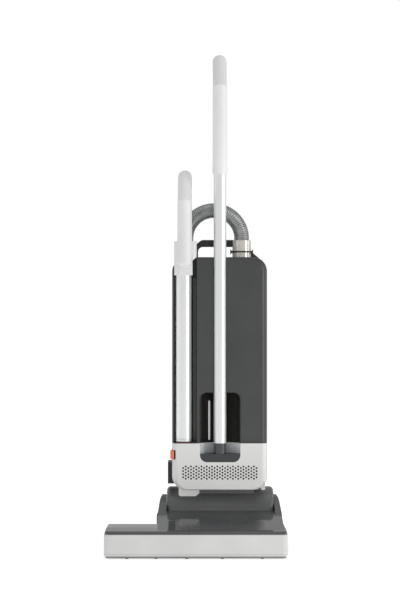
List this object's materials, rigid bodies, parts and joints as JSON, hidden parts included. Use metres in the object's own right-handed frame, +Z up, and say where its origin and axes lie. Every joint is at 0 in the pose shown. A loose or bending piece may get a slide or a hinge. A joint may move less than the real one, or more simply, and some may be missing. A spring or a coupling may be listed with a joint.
{
  "type": "upright vacuum cleaner",
  "caption": "Upright commercial vacuum cleaner: wide offset power head, tilting body with exhaust grille, lift-out wand, ribbed hose and long handle.",
  "frame": {"origin": "on the floor, under the centre of the machine's box: mid-width of the power head, half way between the bumper's front and the back of the rear wheels", "axes": "+Z up, +Y towards the rear, +X to the right as seen from the front"},
  "size_m": [0.452, 0.33, 1.269],
  "materials": {
    "dark_abs": "fine moulded texture",
    "satin_cover": "satin moulded",
    "gloss_deck": "polished moulding",
    "black_gloss": "polished moulding",
    "socket_grey": "satin moulded",
    "light_abs": "satin moulded",
    "bumper_grey": "soft-touch band",
    "warm_grey": "satin moulded",
    "pale_grip": "satin grip moulding",
    "black_nylon": "moulded",
    "bristle": "nylon filament",
    "orange_red": "moulded",
    "seal_red": "silicone",
    "hose_grey": "ribbed polyethylene",
    "aluminium": "satin anodised tube",
    "motor_can": "cast can",
    "steel": "turned or drawn",
    "rubber": "moulded",
    "tyre": "moulded",
    "filter_fleece": "pleated fleece",
    "filter_carbon": "pleated carbon fleece",
    "mid_grey": "moulded",
    "dust_bag": "fleece",
    "circuit_board": "laminate"
  },
  "bodies": {
    "power_head": {"sole_plate": "mid_grey", "front_bumper": "bumper_grey", "head_chassis": "dark_abs", "head_cover": "gloss_deck", "glide_feet": "black_nylon", "brush_bearings": "steel", "brush_motor": "steel", "drive_belt": "rubber", "hinge_pins": "steel", "wheel_axles": "steel"},
    "brush_roller": {"brush_core": "black_nylon", "brush_tufts": "bristle", "brush_pulley": "steel"},
    "motor_rotor": {"motor_shaft": "steel", "motor_pulley": "steel"},
    "wheel_left": {"wheel_hub_left": "dark_abs", "wheel_tyre_left": "tyre"},
    "wheel_right": {"wheel_hub_right": "dark_abs", "wheel_tyre_right": "tyre"},
    "upper_body": {"swivel_housing": "dark_abs", "airway_neck": "light_abs", "base_shell": "light_abs", "base_front": "light_abs", "exhaust_filter": "filter_carbon", "suction_motor": "motor_can", "control_board": "circuit_board", "side_duct_cover": "dark_abs", "handle_socket": "socket_grey", "socket_screws": "steel", "niche_liner": "black_gloss", "front_cover": "satin_cover", "rear_housing": "satin_cover", "dock_seal": "seal_red", "hose_connector": "warm_grey", "lock_ring": "black_nylon", "carry_handle": "dark_abs", "handle_tube": "aluminium", "handle_sleeve": "pale_grip", "handle_grip": "pale_grip", "motor_filter": "filter_fleece", "filter_bag": "dust_bag", "cable_gland": "black_nylon", "cable_hook_lower": "dark_abs", "door_hinge_pins": "steel", "suction_hose": "hose_grey"},
    "fan": {"fan_impeller": "aluminium"},
    "release": {"release_button": "orange_red"},
    "rocker": {"power_switch": "black_gloss"},
    "upper_hook": {"cable_hook_upper": "dark_abs"},
    "rear_door": {"bag_door": "satin_cover"},
    "latch": {"door_latch": "dark_abs"},
    "wand": {"wand_tube": "aluminium", "wand_collar": "pale_grip", "wand_sleeve": "pale_grip", "wand_grip": "pale_grip"}
  },
  "joints": [
    {"name": "body_tilt", "type": "hinge", "parent": "power_head", "child": "upper_body", "pos_m": [0.06, 0.07, 0.087], "axis": [-1, 0, 0], "range_deg": [0, 80]},
    {"name": "wheel_left_spin", "type": "hinge", "parent": "power_head", "child": "wheel_left", "pos_m": [-0.095, 0.127, 0.038], "axis": [1, 0, 0], "continuous": true},
    {"name": "wheel_right_spin", "type": "hinge", "parent": "power_head", "child": "wheel_right", "pos_m": [0.215, 0.127, 0.038], "axis": [1, 0, 0], "continuous": true},
    {"name": "brush_spin", "type": "hinge", "parent": "power_head", "child": "brush_roller", "pos_m": [0, -0.1, 0.029], "axis": [1, 0, 0], "continuous": true},
    {"name": "motor_spin", "type": "hinge", "parent": "power_head", "child": "motor_rotor", "pos_m": [0.15, -0.032, 0.045], "axis": [1, 0, 0], "continuous": true},
    {"name": "fan_spin", "type": "hinge", "parent": "upper_body", "child": "fan", "pos_m": [0.1, 0.076, 0.23], "axis": [0, 0, 1], "continuous": true},
    {"name": "wand_slide", "type": "slide", "parent": "upper_body", "child": "wand", "axis": [0, 0, 1], "range_m": [0, 0.06], "deforming": ["suction_hose"]},
    {"name": "button_press", "type": "slide", "parent": "upper_body", "child": "release", "axis": [1, 0, 0], "range_m": [0, 0.003], "stiffness_N_per_m": 800, "springref_m": -0.002},
    {"name": "switch_rock", "type": "hinge", "parent": "upper_body", "child": "rocker", "pos_m": [0.14, 0.12, 0.24], "axis": [1, 0, 0], "range_deg": [0, 12]},
    {"name": "hook_turn", "type": "hinge", "parent": "upper_body", "child": "upper_hook", "pos_m": [0.06, 0.118, 0.728], "axis": [0, 1, 0], "range_deg": [0, 180]},
    {"name": "door_swing", "type": "hinge", "parent": "upper_body", "child": "rear_door", "pos_m": [0.06, 0.1228, 0.285], "axis": [-1, 0, 0], "range_deg": [0, 75]},
    {"name": "latch_press", "type": "slide", "parent": "rear_door", "child": "latch", "axis": [0, 0, -1], "range_m": [0, 0.004], "stiffness_N_per_m": 600, "springref_m": -0.003}
  ],
  "couplings": [
    {"joint": "brush_spin", "follows": "motor_spin", "ratio": 0.6429}
  ]
}
